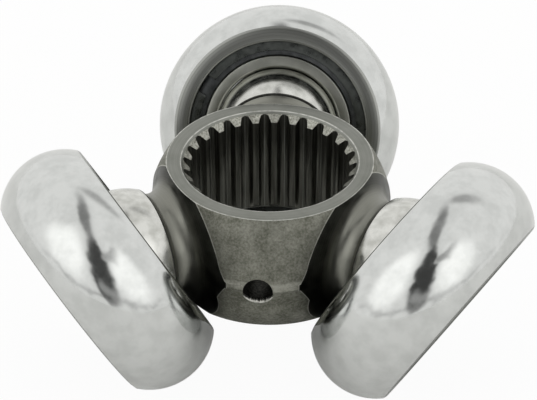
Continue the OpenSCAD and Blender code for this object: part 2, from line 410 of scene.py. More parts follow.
def cut_away(piece, cutter, slot=CUT):
    """Takes the cutter's volume from the piece, marks the cut faces and deletes the cutter."""
    add_slots(piece)
    mark(cutter, slot)
    apply_modifier(piece, "BOOLEAN", operation="DIFFERENCE", object=cutter, solver="EXACT")
    bpy.data.objects.remove(cutter)


for arm in ARMS:
    cutter = flank_cutter("flank_cutter_" + arm)
    put(cutter, trunnion_frame(arm))
    cut_away(hub, cutter)
print("hub with flanks:", triangles(hub), "triangles")

# %% [markdown]
# ## The cross hole
# A small hole goes through the front wall into the spline. A plain cylinder, turned to face the front,
# cuts it.


# %% Cut the cross hole
def cross_drill(name):
    """A drill through the front wall, from inside the bore to outside the hub."""
    length = 12
    turn = math.radians(CROSS_HOLE_TURN)
    out = (ROOT_R + 3) * MM
    deselect()
    location = (math.sin(turn) * out, -math.cos(turn) * out, CROSS_HOLE_Z * MM)
    bpy.ops.mesh.primitive_cylinder_add(vertices=64, radius=CROSS_HOLE_R * MM, depth=length * MM,
                                        location=location, rotation=(math.pi / 2, 0, turn))
    drill = bpy.context.object
    drill.name = name
    bpy.ops.object.transform_apply(location=True, rotation=True, scale=True)
    return drill


cut_away(hub, cross_drill("cross_drill"), DRILLED)
soften(hub, HUB_ROUNDING)
print("hub with cross hole:", triangles(hub), "triangles")

# %% [markdown]
# ## The burr
# The drill left a ragged lip of steel on the hole's lower edge, which nobody took off. Its outline is
# drawn flat, in a plane that lies on the drafted wall: round the hole's edge one way and back along a
# jagged line the other way.


# %% Model the burr
BURR_STEPS = 36
BURR_OUT = 0.12
BURR_THICK = 0.3
BURR_SUNK = 0.28


def burr_outline():
    """A ragged crescent along the lower half of the hole's edge."""
    angles = [math.radians(198 + 144 * k / BURR_STEPS) for k in range(BURR_STEPS + 1)]
    outer = [(CROSS_HOLE_R + BURR_OUT, a) for a in angles]
    inner = []
    for k, a in enumerate(angles):
        swell = math.sin(math.pi * k / BURR_STEPS)
        tooth = abs(math.sin(2.3 * k) * math.cos(1.3 * k + 0.6))
        inner.append((CROSS_HOLE_R - swell * (0.1 + 0.75 * tooth), a))
    return [(r * math.cos(a), r * math.sin(a)) for r, a in outer + inner[::-1]]


turn = math.radians(CROSS_HOLE_TURN)
lean = math.atan(DRAFT / (HUB_BOTTOM - LOWER_SHOULDER - FLASH_HALF))
outline = burr_outline()
burr = draw_outline("hole_burr", outline + [outline[0]])
fill_flat()
bpy.ops.mesh.extrude_region_move(TRANSFORM_OT_translate={"value": (0, 0, BURR_THICK * MM)})
bpy.ops.mesh.select_all(action="SELECT")
bpy.ops.mesh.normals_make_consistent(inside=False)
deselect()
wall = Vector((math.sin(turn) * math.cos(lean), -math.cos(turn) * math.cos(lean), -math.sin(lean)))
rising = Vector((math.sin(turn) * math.sin(lean), -math.cos(turn) * math.sin(lean), math.cos(lean)))
middle = Vector((math.sin(turn) * WAIST_R, -math.cos(turn) * WAIST_R, CROSS_HOLE_Z)) - wall * BURR_SUNK
put(burr, frame_of(middle * MM, wall, rising))
print("burr:", triangles(burr), "triangles")

# %% [markdown]
# ## The spline
# The bore was broached: a long tool pulled through it once cut all spaces at the same time. A tooth's
# sides are involutes, the curves that a taut string's end draws as it unwinds from a circle. At the root
# they run out in a rounding, which leaves each space the shape of a pointed arch. One tooth is drawn,
# raised to the hub's height and cut off at 45 degrees where the lead-in cone passes. Spin with duplicates
# then sets its copies round the bore.


# %% Model the teeth
def involute(angle):
    """The involute function, in radians."""
    return math.tan(angle) - angle


def tooth_half_angle(radius):
    """Half the angle that a tooth takes at a radius, in radians."""
    pressure = math.radians(PRESSURE_ANGLE)
    base_r = PITCH_R * math.cos(pressure)
    space = math.pi / 2 / TEETH + involute(pressure) - involute(math.acos(base_r / radius))
    return math.pi / TEETH - space


def tooth_outline():
    """The tooth seen from above, its root sunk a little into the wall."""
    form_r = ROOT_R - ROOT_ROUND
    flank = [TIP_R + (form_r - TIP_R) * k / 5 for k in range(6)]
    side = [(r, tooth_half_angle(r)) for r in flank]
    space = math.pi / TEETH - tooth_half_angle(form_r)
    for t in (0.9, 0.75, 0.55, 0.3, 0.1):
        side.append((form_r + ROOT_ROUND * math.sqrt(1 - t * t), math.pi / TEETH - t * space))
    side.append((ROOT_R + TOOTH_SUNK, side[-1][1]))
    points = [(r, -a) for r, a in side] + [(r, a) for r, a in reversed(side)]
    return [(r * math.cos(a), r * math.sin(a)) for r, a in points]


def cut_ends():
    """Cuts the open mesh at 45 degrees along both lead-in cones."""
    for side, height in ((1, HUB_TOP), (-1, HUB_BOTTOM)):
        bpy.ops.mesh.select_all(action="SELECT")
        bpy.ops.mesh.bisect(plane_co=(LEAD_IN_R * MM, 0, side * (height - 0.01) * MM), plane_no=(-1, 0, side),
                            use_fill=True, clear_outer=True)


outline = tooth_outline()
teeth = draw_outline("spline_teeth", outline + [outline[0]])
fill_flat()
bpy.ops.transform.translate(value=(0, 0, -(HUB_BOTTOM + 1) * MM))
height = (HUB_TOP + HUB_BOTTOM + 2) * MM
bpy.ops.mesh.extrude_region_move(TRANSFORM_OT_translate={"value": (0, 0, height)})
cut_ends()
bpy.ops.mesh.select_all(action="SELECT")
bpy.ops.mesh.normals_make_consistent(inside=False)
bpy.ops.transform.rotate(value=math.pi / 2, orient_axis="Z", center_override=(0, 0, 0))
bpy.ops.mesh.spin(steps=TEETH - 1, angle=math.tau * (TEETH - 1) / TEETH, dupli=True,
                  center=(0, 0, 0), axis=(0, 0, 1))
deselect()
cut_away(teeth, cross_drill("tooth_drill"), DRILLED)
soften(teeth, TOOTH_ROUNDING, segments=1)
print("teeth:", triangles(teeth), "triangles")

# %% [markdown]
# ## The trunnions
# A trunnion is turned round its own axis: root, fillet, a neck that rises a touch, a small ledge and then
# the ball. The ball is ground. Its flat end keeps the centre drilling in which the forging turned on the
# lathe. The fillet would reach below the hub's lower face, where the forging has no metal, so it is cut
# level there.


# %% Model one trunnion and set it on three arms
def trunnion_outline():
    """From the axis inside the wall, along the neck and the ball, to the axis at the outer end."""
    sweep = 90 - FLANK_SLOPE + FILLET_SINK
    fillet = arc(NECK_R + NECK_FILLET, FILLET_S, NECK_FILLET, 180 + sweep, 180, 24)
    edge_s = BALL_PITCH - BALL_EDGE
    low = -math.degrees(math.asin(BALL_EDGE / BALL_R))
    high = math.degrees(math.asin(BALL_END / BALL_R))
    end_s = BALL_PITCH + BALL_END
    points = [(0, ARM_ROOT), (fillet[0][0], ARM_ROOT)] + fillet
    points += straight((NECK_R, FILLET_S + NECK_LAND), (NECK_R + NECK_RISE, edge_s - NECK_RUNOUT), 3)
    points += [(EDGE_R - LEDGE, edge_s)] + arc(0, BALL_PITCH, BALL_R, low, high, 64)
    return points + [(CENTRE_R, end_s), (0, end_s - CENTRE_R / math.tan(math.radians(30)))]


first_trunnion = lathe("rear_trunnion", trunnion_outline())
edit(first_trunnion)
bpy.ops.mesh.bisect(plane_co=(-(HUB_BOTTOM - 0.01) * MM, 0, 0), plane_no=(-1, 0, 0),
                    use_fill=True, clear_outer=True)
deselect()
soften(first_trunnion, TRUNNION_ROUNDING)
note_own_place(first_trunnion)
trunnions = {arm: copy_of(first_trunnion, arm + "_trunnion") for arm in ARMS[1:]}
trunnions["rear"] = first_trunnion
for arm in ARMS:
    put(trunnions[arm], trunnion_frame(arm))
print("trunnion:", triangles(first_trunnion), "triangles")

# %% [markdown]
# ## The roller
# The roller is a bearing ring with a crowned outside, so that it stays in line contact while the joint
# bends. Its plain bore is the needles' race. Two grooves near its ends hold the snap rings.

# %% Model the roller
crown_x = ROLLER_R - CROWN_R
edge_x = crown_x + math.sqrt(CROWN_R ** 2 - ROLLER_HALF ** 2)
crown_end = math.degrees(math.asin((ROLLER_HALF - EDGE / 2) / CROWN_R))
groove_r = RACE_R + GROOVE_DEPTH


def roller_outline():
    """Round the section: upper end face, crown, lower end face and the race with its two grooves."""
    crown = arc(crown_x, 0, CROWN_R, crown_end, -crown_end, 96)
    points = [(RACE_R + EDGE, ROLLER_HALF), (edge_x - EDGE, ROLLER_HALF)] + crown
    points += [(edge_x - EDGE, -ROLLER_HALF), (RACE_R + EDGE, -ROLLER_HALF), (RACE_R, -ROLLER_HALF + EDGE)]
    points += [(RACE_R, -GROOVE_OUT), (groove_r, -GROOVE_OUT), (groove_r, -GROOVE_IN), (RACE_R, -GROOVE_IN)]
    points += [(RACE_R, GROOVE_IN), (groove_r, GROOVE_IN), (groove_r, GROOVE_OUT), (RACE_R, GROOVE_OUT)]
    return points + [(RACE_R, ROLLER_HALF - EDGE), points[0]]


roller = lathe("crowned_roller", roller_outline(), steps=FINE_STEPS)
soften(roller, ROLLER_ROUNDING)
print("roller:", triangles(roller), "triangles")

# %% [markdown]
# ## Inner ring, washers and snap rings
# The inner ring slides and tilts on the ball by its plain bore. Outside it steps down at both ends to
# clear the washers. A washer on either side keeps the needles in, and a split snap ring behind each
# washer holds it all in the roller.

# %% Model the small rings
half = RING_HALF
ring_edge = 0.4
ring_points = [(RING_BORE_R, -half + ring_edge), (RING_BORE_R + ring_edge, -half), (RING_END_R - 0.2, -half)]
ring_points += [(RING_END_R, -half + 0.2), (RING_END_R, -TRACK_HALF), (TRACK_R, -TRACK_HALF)]
ring_points += [(x, -z) for x, z in reversed(ring_points)]
inner_ring = lathe("ball_ring", ring_points + [ring_points[0]])
soften(inner_ring, RING_ROUNDING)


def flat_ring(name, inner, outer, low, high):
    """A plain ring of square section."""
    return lathe(name, [(inner, low), (outer, low), (outer, high), (inner, high), (inner, low)])


washer = flat_ring("side_washer", RING_END_R + CLEARANCE, RACE_R - CLEARANCE, WASHER_IN, GROOVE_IN)
soften(washer, WASHER_ROUNDING)
snap_out = groove_r - CLEARANCE
snap_ring = flat_ring("split_ring", snap_out - SNAP_W, snap_out, GROOVE_IN, GROOVE_OUT)
deselect()
gap_angle = math.radians(60)
snap_in = snap_out - SNAP_W
gap_place = (snap_in * math.cos(gap_angle) * MM, snap_in * math.sin(gap_angle) * MM, 0)
bpy.ops.mesh.primitive_cube_add(size=1, location=gap_place, rotation=(0, 0, gap_angle))
gap_cutter = bpy.context.object
gap_cutter.scale = ((2 * SNAP_W + 1) * MM, SNAP_GAP * MM, 20 * MM)
bpy.ops.object.transform_apply(location=True, rotation=True, scale=True)
cut_away(snap_ring, gap_cutter)
soften(snap_ring, SNAP_ROUNDING)
print("inner ring, washer, snap ring:",
      [triangles(ring) for ring in (inner_ring, washer, snap_ring)], "triangles")

# %% [markdown]
# ## Three cartridges
# The same five pieces go on every arm. The inboard washer and snap ring are the outboard ones turned end
# for end.

# %% Put the cartridges together
TURNED = Matrix.Rotation(math.pi, 4, "X")
PIECES = (("roller", roller, None), ("inner_ring", inner_ring, None),
          ("washer_outboard", washer, None), ("washer_inboard", washer, TURNED),
          ("snap_ring_outboard", snap_ring, None), ("snap_ring_inboard", snap_ring, TURNED))
cartridges = {}
for model in (roller, inner_ring, washer, snap_ring):
    note_own_place(model)
for arm in ARMS:
    place = cartridge_frame(arm)
    parts = {}
    for word, model, turn in PIECES:
        piece = copy_of(model, arm + "_" + word + "_dressed")
        put(piece, place @ turn if turn else place)
        parts[word] = piece
    cartridges[arm] = parts
for model in (roller, inner_ring, washer, snap_ring):
    bpy.data.objects.remove(model)
print("cartridges:", ", ".join(cartridges))

# %% [markdown]
# ## Bodies
# Every piece is tied to the body of the solid model that carries it, and stands in for the plain shape
# there.

# %% Tie the pieces to their bodies
for piece in [hub, teeth, burr] + list(trunnions.values()):
    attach(piece, "spider")
    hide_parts("spider")
for arm, parts in cartridges.items():
    for word, piece in parts.items():
        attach(piece, arm + ("_inner" if word == "inner_ring" else "_outer"))
        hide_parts(arm + "_" + word)
print("pieces tied")

# %% [markdown]
# ## Finishes
# All of the part is steel, so what tells one surface from another is how it was made: blasted, turned,
# broached, ground or polished. A few colours are painted highlight and shade instead, each noted where it
# is set. Each finish is one set of nodes. The hub's patterns read the place in the hub, in millimetres.
# Those of the arms read the place that each point noted in its piece's own frame, so that marks run round
# its axis.


# %% Helpers: nodes
def new_finish(name, colour, metallic, roughness):
    """A material with its plain values set on the shader itself."""
    material = bpy.data.materials.new(name)
    material.use_nodes = True
    shader = material.node_tree.nodes["Principled BSDF"]
    shader.inputs["Base Color"].default_value = (*colour, 1)
    shader.inputs["Metallic"].default_value = metallic
    shader.inputs["Roughness"].default_value = roughness
    return material.node_tree, shader


def feed(tree, value, socket):
    """Sets a number on a socket, or links another socket to it."""
    if isinstance(value, (int, float, tuple)):
        socket.default_value = value
    else:
        tree.links.new(value, socket)


def compute(tree, operation, *values):
    """One step of arithmetic."""
    step = tree.nodes.new("ShaderNodeMath")
    step.operation = operation
    for value, socket in zip(values, step.inputs):
        feed(tree, value, socket)
    return step.outputs[0]


def weighted(tree, first, share, second, other_share):
    """The sum of two values, each times its share."""
    return compute(tree, "ADD", compute(tree, "MULTIPLY", first, share),
                   compute(tree, "MULTIPLY", second, other_share))


def hypotenuse(tree, a, b):
    """The long side of a right triangle, from its two short ones."""
    squares = [compute(tree, "MULTIPLY", side, side) for side in (a, b)]
    return compute(tree, "SQRT", compute(tree, "ADD", *squares))


def between(tree, value, low, high, to_low=0.0, to_high=1.0):
    """Follows a value smoothly from one end of a range to the other."""
    step = tree.nodes.new("ShaderNodeMapRange")
    step.interpolation_type = "SMOOTHSTEP"
    for word, number in (("From Min", low), ("From Max", high), ("To Min", to_low), ("To Max", to_high)):
        step.inputs[word].default_value = number
    feed(tree, value, step.inputs["Value"])
    return step.outputs["Result"]


def near(tree, value, target, full, none):
    """1 where a value is within one distance of a target, and 0 beyond a larger distance."""
    distance = compute(tree, "ABSOLUTE", compute(tree, "SUBTRACT", value, target))
    return between(tree, distance, full, none, 1.0, 0.0)


def grain(tree, place, size, detail=3.0, contrast=0.55):
    """Soft random patches of about the given size in millimetres, from 0 to 1."""
    noise = tree.nodes.new("ShaderNodeTexNoise")
    noise.inputs["Scale"].default_value = 1 / size
    noise.inputs["Detail"].default_value = detail
    noise.inputs["Roughness"].default_value = contrast
    feed(tree, place, noise.inputs["Vector"])
    return noise.outputs["Fac"]


def tint(tree, value, low, high, shader, start=0.3, end=0.7):
    """Colours the surface between two colours by a value."""
    ramp = tree.nodes.new("ShaderNodeValToRGB")
    ramp.color_ramp.elements[0].position = start
    ramp.color_ramp.elements[0].color = (*low, 1)
    ramp.color_ramp.elements[1].position = end
    ramp.color_ramp.elements[1].color = (*high, 1)
    feed(tree, value, ramp.inputs["Fac"])
    tree.links.new(ramp.outputs["Color"], shader.inputs["Base Color"])
    return ramp.outputs["Color"]


def relief(tree, height, depth, shader, strength=1.0):
    """Raises the surface by a height from 0 to 1, with its depth in millimetres."""
    bump = tree.nodes.new("ShaderNodeBump")
    bump.inputs["Distance"].default_value = depth * MM
    bump.inputs["Strength"].default_value = strength
    feed(tree, height, bump.inputs["Height"])
    tree.links.new(bump.outputs["Normal"], shader.inputs["Normal"])


def hub_place(tree):
    """The place in the hub, in millimetres."""
    scale = tree.nodes.new("ShaderNodeMapping")
    scale.inputs["Scale"].default_value = (1000, 1000, 1000)
    tree.links.new(tree.nodes.new("ShaderNodeTexCoord").outputs["Object"], scale.inputs["Vector"])
    return scale.outputs["Vector"]


def noted_place(tree):
    """The place that each point noted in its piece's own frame, in millimetres."""
    note = tree.nodes.new("ShaderNodeAttribute")
    note.attribute_name = "own_place"
    return note.outputs["Vector"]


def split(tree, place):
    """The three coordinates of a place."""
    parts = tree.nodes.new("ShaderNodeSeparateXYZ")
    tree.links.new(place, parts.inputs["Vector"])
    return parts.outputs["X"], parts.outputs["Y"], parts.outputs["Z"]


def radius_of(tree, place):
    """The distance from the piece's axis."""
    x, y = split(tree, place)[:2]
    return hypotenuse(tree, x, y)


def turning_marks(tree, place, pitch, wander=0.02):
    """Rings round the axis, as a tool or a wheel leaves them, from 0 to 1."""
    wobble = compute(tree, "MULTIPLY", grain(tree, place, 5.0, 2.0), wander)
    joined = tree.nodes.new("ShaderNodeCombineXYZ")
    tree.links.new(compute(tree, "ADD", radius_of(tree, place), wobble), joined.inputs["X"])
    tree.links.new(compute(tree, "ADD", split(tree, place)[2], wobble), joined.inputs["Y"])
    return grain(tree, joined.outputs["Vector"], pitch, 2.0, 0.6)


def lay_over(tree, below, share, colour, shader):
    """Lays a second colour over the first where the share is 1."""
    mix = tree.nodes.new("ShaderNodeMix")
    mix.data_type = "RGBA"
    feed(tree, share, mix.inputs["Factor"])
    tree.links.new(below, mix.inputs[6])
    mix.inputs[7].default_value = (*colour, 1)
    tree.links.new(mix.outputs[2], shader.inputs["Base Color"])


def under_slope(tree, own):
    """How deep a place lies under the slope of the turned flank, in millimetres."""
    slope = math.radians(FLANK_SLOPE)
    fall = compute(tree, "MULTIPLY", compute(tree, "SUBTRACT", radius_of(tree, own), NECK_R), math.tan(slope))
    level = compute(tree, "SUBTRACT", CORNER_S, compute(tree, "ADD", fall, split(tree, own)[2]))
    return compute(tree, "MULTIPLY", level, math.cos(slope))


print("node helpers ready")

# %% [markdown]
# ## The forged skin
# A drop forging is shot-blasted to rid it of scale. The shot leaves a fine, even roughness of dents and a
# mottled greenish grey, a little darker towards the bottom. Where the flash was trimmed, a sheared band
# shines through. A thin painted highlight, broken at random, follows the crisp edge along each flank.

# %% Finish of the forging
tree, shader = new_finish("forged_skin", (0.17, 0.17, 0.14), 0.85, 0.5)
place = hub_place(tree)
patches = grain(tree, place, 2.6, 5.0, 0.62)
dents = grain(tree, place, 0.34, 3.0, 0.62)
mixed = weighted(tree, patches, 0.5, dents, 0.5)
height = split(tree, place)[2]
unevenness = compute(tree, "MULTIPLY", compute(tree, "SUBTRACT", patches, 0.72), 1.6)
ragged = compute(tree, "ADD", height, unevenness)
band = between(tree, compute(tree, "ABSOLUTE", ragged), 0.45, 0.85, 1.0, 0.0)
# A little darker towards the bottom.
darker_low = between(tree, height, -3.5, 2.0, -0.04, 0.0)
tone = compute(tree, "ADD", compute(tree, "ADD", mixed, compute(tree, "MULTIPLY", band, 0.2)), darker_low)
skin = tint(tree, tone, (0.115, 0.117, 0.092), (0.33, 0.33, 0.288), shader, 0.36, 0.74)
# Painted highlight: a thin bright line along the edge where the skin meets each flank, broken at random.
crease = between(tree, under_slope(tree, noted_place(tree)), 0.0, 0.055, 1.0, 0.0)
flank_edge_highlight = compute(tree, "MULTIPLY", crease, between(tree, grain(tree, place, 1.1, 3.0), 0.3, 0.55, 0.25, 0.9))
lay_over(tree, skin, flank_edge_highlight, (0.62, 0.62, 0.57), shader)
tree.links.new(between(tree, mixed, 0.3, 0.7, 0.62, 0.42), shader.inputs["Roughness"])
relief(tree, compute(tree, "ADD", dents, compute(tree, "MULTIPLY", patches, 0.7)), 0.05, shader, 0.8)
forged_skin = bpy.data.materials["forged_skin"]
print("forged skin:", len(tree.nodes), "nodes")

# %% [markdown]
# ## Turned, broached and ground steel
# A lathe leaves fine rings on the end faces, on the flanks and on the necks. A broach leaves lengthwise
# streaks. Grinding leaves a satin of the finest rings, and polishing leaves next to none.

# %% Finishes of the machined steel
tree, shader = new_finish("turned_face", (0.22, 0.22, 0.2), 0.95, 0.4)
place = hub_place(tree)
marks = turning_marks(tree, place, 0.11)
cloud = grain(tree, place, 3.5, 4.0)
tone = weighted(tree, marks, 0.45, cloud, 0.55)
face = tint(tree, tone, (0.165, 0.17, 0.15), (0.3, 0.305, 0.28), shader)
radius = radius_of(tree, place)
# Painted highlights: thin bright lines at the face's outer edge, at the lead-in's edge and where the face
# meets each flank, broken at random.
outer = near(tree, radius, FACE_R - 0.05, 0.06, 0.14)
inner = near(tree, radius, LEAD_IN_R, 0.04, 0.12)
chord = between(tree, under_slope(tree, noted_place(tree)), 0.04, 0.14, 1.0, 0.0)
painted_edge_lines = compute(tree, "MAXIMUM", inner, compute(tree, "MAXIMUM", outer, chord))
highlight_breaks = between(tree, grain(tree, place, 0.9, 3.0), 0.3, 0.6, 0.2, 0.85)
lay_over(tree, face, compute(tree, "MULTIPLY", painted_edge_lines, highlight_breaks), (0.66, 0.66, 0.62), shader)
tree.links.new(between(tree, cloud, 0.3, 0.7, 0.34, 0.5), shader.inputs["Roughness"])
relief(tree, marks, 0.012, shader, 0.6)
turned_face = bpy.data.materials["turned_face"]

tree, shader = new_finish("tooth_end", (0.3, 0.3, 0.27), 0.9, 0.45)
place = hub_place(tree)
speck = grain(tree, place, 0.3, 3.0, 0.6)
tint(tree, speck, (0.2, 0.2, 0.17), (0.5, 0.5, 0.45), shader, 0.35, 0.65)
relief(tree, speck, 0.03, shader, 0.7)
tooth_end = bpy.data.materials["tooth_end"]

tree, shader = new_finish("drilled_wall", (0.03, 0.03, 0.026), 0.8, 0.5)
place = hub_place(tree)
speck = grain(tree, place, 0.4, 3.0, 0.6)
tint(tree, speck, (0.012, 0.012, 0.01), (0.07, 0.07, 0.06), shader, 0.4, 0.7)
relief(tree, speck, 0.05, shader, 0.6)
drilled_wall = bpy.data.materials["drilled_wall"]

tree, shader = new_finish("turned_flank", (0.1, 0.1, 0.09), 1.0, 0.34)
place = noted_place(tree)
marks = turning_marks(tree, place, 0.16)
cloud = grain(tree, place, 2.5, 4.0)
tone = weighted(tree, marks, 0.4, cloud, 0.6)
# Painted light and shade: lighter on the neck, darker out on the flank towards the hub, where the flank lies
# in shade and mirrors the dark gap.
inner = between(tree, radius_of(tree, place), 8.5, 10.6, 0.45, 0.0)
tint(tree, compute(tree, "ADD", compute(tree, "MULTIPLY", tone, 0.4), inner), (0.02, 0.021, 0.018),
     (0.3, 0.3, 0.265), shader, 0.1, 0.85)
tree.links.new(between(tree, cloud, 0.3, 0.7, 0.28, 0.42), shader.inputs["Roughness"])
relief(tree, marks, 0.014, shader, 0.6)
turned_flank = bpy.data.materials["turned_flank"]

# Painted shade: a dark band on the end of the neck and the first sliver of the ball, where the ledge lies in
# shadow.
tree, shader = new_finish("painted_ledge_shade", (0.04, 0.04, 0.036), 0.7, 0.6)
place = noted_place(tree)
tint(tree, grain(tree, place, 0.6, 3.0), (0.025, 0.025, 0.022), (0.07, 0.07, 0.064), shader)
painted_ledge_shade = bpy.data.materials["painted_ledge_shade"]

# Painted highlight on the hub's rounded edges: a bright, broken colour in place of the light they catch. The
# burr takes the same finish.
tree, shader = new_finish("edge_highlight_and_burr", (0.5, 0.5, 0.46), 1.0, 0.36)
place = hub_place(tree)
highlight_breaks = grain(tree, place, 0.9, 4.0, 0.65)
tint(tree, highlight_breaks, (0.16, 0.16, 0.14), (0.75, 0.75, 0.7), shader, 0.35, 0.6)
relief(tree, highlight_breaks, 0.05, shader, 0.6)
edge_highlight_and_burr = bpy.data.materials["edge_highlight_and_burr"]

tree, shader = new_finish("ground_ball", (0.56, 0.56, 0.53), 1.0, 0.18)
place = noted_place(tree)
marks = turning_marks(tree, place, 0.07)
cloud = grain(tree, place, 2.2, 4.0)
tint(tree, cloud, (0.5, 0.5, 0.47), (0.7, 0.7, 0.67), shader, 0.33, 0.62)
tree.links.new(between(tree, cloud, 0.3, 0.7, 0.14, 0.24), shader.inputs["Roughness"])
relief(tree, marks, 0.004, shader, 0.5)
ground_ball = bpy.data.materials["ground_ball"]

tree, shader = new_finish("broached_steel", (0.1, 0.1, 0.085), 1.0, 0.36)
place = hub_place(tree)
stretch = tree.nodes.new("ShaderNodeMapping")
stretch.inputs["Scale"].default_value = (1, 1, 0.03)
tree.links.new(place, stretch.inputs["Vector"])
streaks = grain(tree, stretch.outputs["Vector"], 0.2, 3.0)
tint(tree, streaks, (0.06, 0.06, 0.05), (0.17, 0.17, 0.15), shader)
relief(tree, streaks, 0.012, shader, 0.5)
broached_steel = bpy.data.materials["broached_steel"]

# %% Finishes of the cartridges
tree, shader = new_finish("polished_crown", (0.6, 0.61, 0.6), 1.0, 0.1)
place = noted_place(tree)
marks = turning_marks(tree, place, 0.09)
film = grain(tree, place, 3.0, 5.0, 0.6)
tint(tree, film, (0.58, 0.59, 0.58), (0.66, 0.67, 0.66), shader, 0.38, 0.6)
tree.links.new(between(tree, film, 0.35, 0.7, 0.085, 0.16), shader.inputs["Roughness"])
swell = compute(tree, "ADD", compute(tree, "MULTIPLY", marks, 0.04), grain(tree, place, 5.0, 1.0))
relief(tree, swell, 0.045, shader, 0.5)
polished_crown = bpy.data.materials["polished_crown"]

tree, shader = new_finish("ground_end", (0.26, 0.265, 0.25), 1.0, 0.3)
place = noted_place(tree)
marks = turning_marks(tree, place, 0.1)
tint(tree, marks, (0.2, 0.205, 0.19), (0.32, 0.325, 0.31), shader)
relief(tree, marks, 0.006, shader, 0.5)
ground_end = bpy.data.materials["ground_end"]

tree, shader = new_finish("ring_steel", (0.36, 0.365, 0.33), 1.0, 0.32)
place = noted_place(tree)
marks = turning_marks(tree, place, 0.12)
cloud = grain(tree, place, 3.0, 4.0)
tone = weighted(tree, marks, 0.4, cloud, 0.6)
tint(tree, tone, (0.28, 0.285, 0.25), (0.44, 0.445, 0.41), shader)
relief(tree, marks, 0.008, shader, 0.5)
ring_steel = bpy.data.materials["ring_steel"]

tree, shader = new_finish("stamped_washer", (0.07, 0.074, 0.076), 1.0, 0.38)
place = noted_place(tree)
cloud = grain(tree, place, 1.4, 4.0)
tint(tree, cloud, (0.06, 0.064, 0.066), (0.13, 0.136, 0.14), shader)
relief(tree, grain(tree, place, 0.2, 3.0), 0.02, shader, 0.5)
stamped_washer = bpy.data.materials["stamped_washer"]

tree, shader = new_finish("blackened_spring", (0.045, 0.048, 0.051), 1.0, 0.3)
place = noted_place(tree)
cloud = grain(tree, place, 1.1, 4.0)
tint(tree, cloud, (0.07, 0.075, 0.072), (0.12, 0.128, 0.122), shader)
tree.links.new(between(tree, cloud, 0.3, 0.7, 0.24, 0.42), shader.inputs["Roughness"])
relief(tree, turning_marks(tree, place, 0.12), 0.01, shader, 0.4)
blackened_spring = bpy.data.materials["blackened_spring"]

tree, shader = new_finish("needle_steel", (0.55, 0.55, 0.53), 1.0, 0.15)
place = hub_place(tree)
tree.links.new(between(tree, grain(tree, place, 0.6, 3.0), 0.3, 0.7, 0.1, 0.22), shader.inputs["Roughness"])
needle_steel = bpy.data.materials["needle_steel"]
print("finishes:", ", ".join(sorted(m.name for m in bpy.data.materials if m.use_nodes)))

# %% [markdown]
# ## Which face gets which finish
# A piece that several tools have touched carries several finishes. Each face says by its place which tool
# made it: flat and level at the hub's ends, on the slope round an arm, at a tooth's end, on the neck or
# on the ball. The hub's rounded edges get a painted highlight instead, and the ledge before each ball a
# painted shade.


# %% Helpers: finishes by face
def finish_faces(piece, finishes, choose):
    """Gives a piece its finishes; each face's own is chosen from its centre, its normal and its mark."""
    marks = [face.material_index for face in piece.data.polygons]
    piece.data.materials.clear()
    for finish in finishes:
        piece.data.materials.append(finish)
    for face, slot in zip(piece.data.polygons, marks):
        face.material_index = choose(face.center / MM, face.normal, slot)


inward = {arm: trunnion_frame(arm).to_3x3().inverted() for arm in ARMS}


def nearest_arm(point):
    """The arm on whose side a point lies, and the point in that arm's own frame."""
    seen = {arm: inward[arm] @ point for arm in ARMS}
    arm = max(seen, key=lambda name: seen[name].z)
    return arm, seen[arm]


def hub_finish(centre, normal, slot):
    """0 forged, 1 turned face, 2 turned flank, 3 painted edge highlight, 4 drilled wall."""
    if slot in (CUT, DRILLED, ROUNDED):
        return {CUT: 2, DRILLED: 4, ROUNDED: 3}[slot]
    return int(abs(normal.z) > 0.95 or math.hypot(centre.x, centre.y) < LEAD_IN_R + 0.02)


def tooth_finish(centre, normal, slot):
    """0 broached, 1 end on the upper lead-in, 2 drilled wall."""
    return 2 if slot == DRILLED else int(normal.z > 0.4)


# %% Finish the hub, the teeth and the trunnions
places = hub.data.attributes.new("own_place", "FLOAT_VECTOR", "POINT")
for point, noted in zip(hub.data.vertices, places.data):
    noted.vector = nearest_arm(point.co / MM)[1]
finish_faces(hub, (forged_skin, turned_face, turned_flank, edge_highlight_and_burr, drilled_wall), hub_finish)
finish_faces(teeth, (broached_steel, tooth_end, drilled_wall), tooth_finish)
finish_faces(burr, (edge_highlight_and_burr,), lambda centre, normal, slot: 0)
for arm, piece in trunnions.items():
    edge_s = BALL_PITCH - BALL_EDGE

    def trunnion_finish(centre, normal, slot, arm=arm):
        """0 turned neck, 1 ground ball, 2 painted shade at the ledge."""
        along = (inward[arm] @ centre).z
        return 2 if abs(along - edge_s + 0.08) < 0.2 else int(along > edge_s)

    finish_faces(piece, (turned_flank, ground_ball, painted_ledge_shade), trunnion_finish)
print("hub faces by finish:", [sum(f.material_index == k for f in hub.data.polygons) for k in range(5)])

# %% Finish the cartridges
PLAIN_FINISHES = {"inner_ring": ring_steel, "washer": stamped_washer, "snap_ring": blackened_spring}
for arm, parts in cartridges.items():
    own = cartridge_frame(arm).inverted()

    def roller_finish(centre, normal, slot, own=own):
        """0 crown, 1 ground ends and race."""
        seen = own @ (centre * MM) / MM
        return int(abs(seen.z) > ROLLER_HALF - 0.12 or math.hypot(seen.x, seen.y) < groove_r + 0.1)

    finish_faces(parts["roller"], (polished_crown, ground_end), roller_finish)
    for word, piece in parts.items():
        for start, finish in PLAIN_FINISHES.items():
            if word.startswith(start):
                finish_faces(piece, (finish,), lambda centre, normal, slot: 0)
    needles = frame["nodes"][arm + "_needles"]
    needles.data.materials.clear()
    needles.data.materials.append(needle_steel)
print("cartridges finished")

# %% [markdown]
# ## Camera
# The camera stands in front of the part and looks down on it at 36 degrees, from about a foot away.

